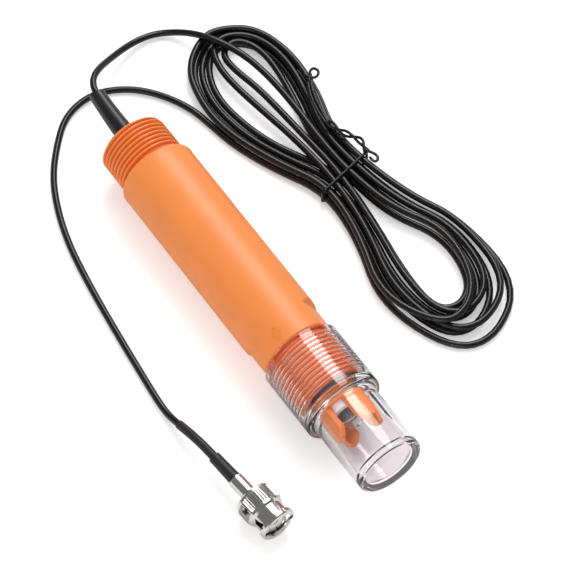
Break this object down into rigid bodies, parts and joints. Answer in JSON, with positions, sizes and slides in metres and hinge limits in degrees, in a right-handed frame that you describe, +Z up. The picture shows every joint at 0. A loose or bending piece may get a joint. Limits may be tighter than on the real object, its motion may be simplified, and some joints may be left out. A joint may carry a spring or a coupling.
{
  "type": "ph electrode",
  "caption": "Combination pH electrode lying on its side: threaded orange plastic body, guarded glass bulb, clear screw-on storage cap, tied hank of cable and bayonet plug.",
  "frame": {"origin": "on the surface that the electrode lies on, under the middle of the electrode from boot tip to cap end", "axes": "+X along the electrode from its cable end towards the sensing end and cap, +Y towards the tied hank, +Z up"},
  "size_m": [0.2108, 0.1395, 0.0302],
  "materials": {
    "body_plastic": "smooth moulded orange thermoplastic, satin",
    "clear_plastic": "clear polished polycarbonate-like plastic",
    "sensor_glass": "thin blown glass",
    "junction_white": "white porous fluoropolymer",
    "resin": "black potting resin",
    "seal_rubber": "black rubber",
    "boot_rubber": "black flexible PVC, satin",
    "gasket_rubber": "silicone rubber",
    "cable_jacket": "black PVC jacket, semi-gloss",
    "tie_plastic": "black plastic-covered wire",
    "sleeve_plastic": "black heat-shrink tube",
    "nickel": "nickel plating over brass",
    "spring_steel": "spring steel",
    "silver": "silver wire",
    "insulator_white": "white fluoropolymer",
    "pin_brass": "gold-plated brass"
  },
  "bodies": {
    "electrode": {"electrode_body": "body_plastic", "ph_glass": "sensor_glass", "stem_plug": "seal_rubber", "silver_wire": "silver", "reference_wire": "silver", "rear_potting": "resin", "reference_junction": "junction_white", "stem_seal": "seal_rubber", "cable_boot": "boot_rubber", "cable_lead": "cable_jacket", "cable_tail": "cable_jacket", "cable_hank": "cable_jacket", "twist_tie": "tie_plastic", "cable_sleeve": "sleeve_plastic", "connector_sleeve": "sleeve_plastic", "crimp_ferrule": "nickel", "plug_shell": "nickel", "plug_gasket": "gasket_rubber", "plug_insulator": "insulator_white", "centre_pin": "pin_brass"},
    "seal": {"front_o_ring": "seal_rubber"},
    "cap": {"storage_cap": "clear_plastic"},
    "washer": {"spring_washer": "spring_steel"},
    "nut": {"coupling_nut": "nickel"}
  },
  "joints": [
    {"name": "cap_turn", "type": "hinge", "parent": "electrode", "child": "seal", "pos_m": [0.0619, 0, 0.0151], "axis": [1, 0, 0], "range_deg": [0, 3744]},
    {"name": "cap_travel", "type": "slide", "parent": "seal", "child": "cap", "axis": [1, 0, 0], "range_m": [0, 0.0189]},
    {"name": "nut_turn", "type": "hinge", "parent": "electrode", "child": "washer", "pos_m": [0.0736, -0.0433, 0.0073], "axis": [0.9949, 0.1011, 0], "continuous": true},
    {"name": "nut_float", "type": "slide", "parent": "washer", "child": "nut", "axis": [0.9949, 0.1011, 0], "range_m": [0, 0.0008], "stiffness_N_per_m": 2000}
  ],
  "couplings": [
    {"joint": "cap_travel", "follows": "cap_turn", "m_per_rad": 0.00028875}
  ]
}
